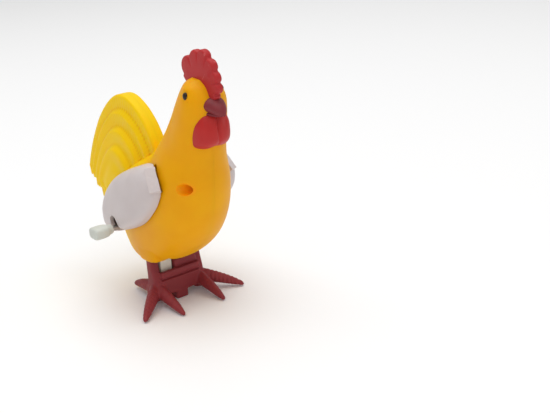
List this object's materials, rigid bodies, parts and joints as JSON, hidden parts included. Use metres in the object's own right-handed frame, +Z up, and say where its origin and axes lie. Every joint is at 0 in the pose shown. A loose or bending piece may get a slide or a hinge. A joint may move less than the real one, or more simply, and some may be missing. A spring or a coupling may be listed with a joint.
{
  "type": "wind-up hopping rooster toy",
  "caption": "Moulded plastic wind-up rooster with comb, wattle, sickle-feather tail, flapping wings, side winding key and spiky rocking feet.",
  "frame": {"origin": "on the ground, on the flat underside of the tread block between the feet", "axes": "+X forward, the way the beak points; +Y to the bird's left; +Z up"},
  "size_m": [0.0904, 0.0516, 0.0943],
  "materials": {
    "body_plastic": "satin, slightly translucent yellow moulding",
    "comb_plastic": "satin crimson with light wear on the lobes",
    "beak_plastic": "dull brown-red horn colour",
    "wattle_plastic": "satin bright red",
    "eye_plastic": "glossy black",
    "wing_plastic": "satin warm white with light scuffs",
    "key_plastic": "dull grey-white",
    "foot_plastic": "dull dark red",
    "motor_plastic": "off-white moulding",
    "gear_plastic": "off-white moulding",
    "steel": "bare steel",
    "spring_steel": "tempered spring steel"
  },
  "bodies": {
    "body": {"body_shell_left": "body_plastic", "body_shell_right": "body_plastic", "comb": "comb_plastic", "beak": "beak_plastic", "wattle": "wattle_plastic", "eye_left": "eye_plastic", "eye_right": "eye_plastic", "screw_chest": "steel", "screw_rump": "steel", "motor_case_right": "motor_plastic", "motor_case_left": "motor_plastic", "mainspring": "spring_steel", "foot_pivot_pin": "steel"},
    "winding": {"winding_key": "key_plastic", "winding_shaft": "steel", "main_gear": "gear_plastic"},
    "second": {"second_gear": "gear_plastic", "second_axle": "steel"},
    "crank": {"crank_pinion": "gear_plastic", "crankshaft": "steel", "crank_disc": "gear_plastic"},
    "feet": {"feet": "foot_plastic"},
    "wing_left": {"wing_left": "wing_plastic"},
    "wing_right": {"wing_right": "wing_plastic"}
  },
  "joints": [
    {"name": "key_wind", "type": "hinge", "parent": "body", "child": "winding", "pos_m": [-0.0085, 0, 0.0303], "axis": [0, 1, 0], "continuous": true},
    {"name": "second_spin", "type": "hinge", "parent": "body", "child": "second", "pos_m": [0.00133, 0, 0.02844], "axis": [0, 1, 0], "continuous": true},
    {"name": "crank_spin", "type": "hinge", "parent": "body", "child": "crank", "pos_m": [-0.0024, 0, 0.0208], "axis": [0, 1, 0], "continuous": true},
    {"name": "feet_rock", "type": "hinge", "parent": "body", "child": "feet", "pos_m": [-0.0033, 0, 0.0136], "axis": [0, 1, 0], "range_deg": [-7, 7]},
    {"name": "wing_left_flap", "type": "hinge", "parent": "body", "child": "wing_left", "pos_m": [0.0122, 0.01125, 0.0509], "axis": [0.5344, 0.1893, -0.8238], "range_deg": [-8, 10]},
    {"name": "wing_right_flap", "type": "hinge", "parent": "body", "child": "wing_right", "pos_m": [0.0122, -0.01125, 0.0509], "axis": [-0.5344, 0.1893, 0.8238], "range_deg": [0, 4]}
  ],
  "couplings": [
    {"joint": "second_spin", "follows": "key_wind", "ratio": -3},
    {"joint": "crank_spin", "follows": "key_wind", "ratio": 7.2}
  ]
}
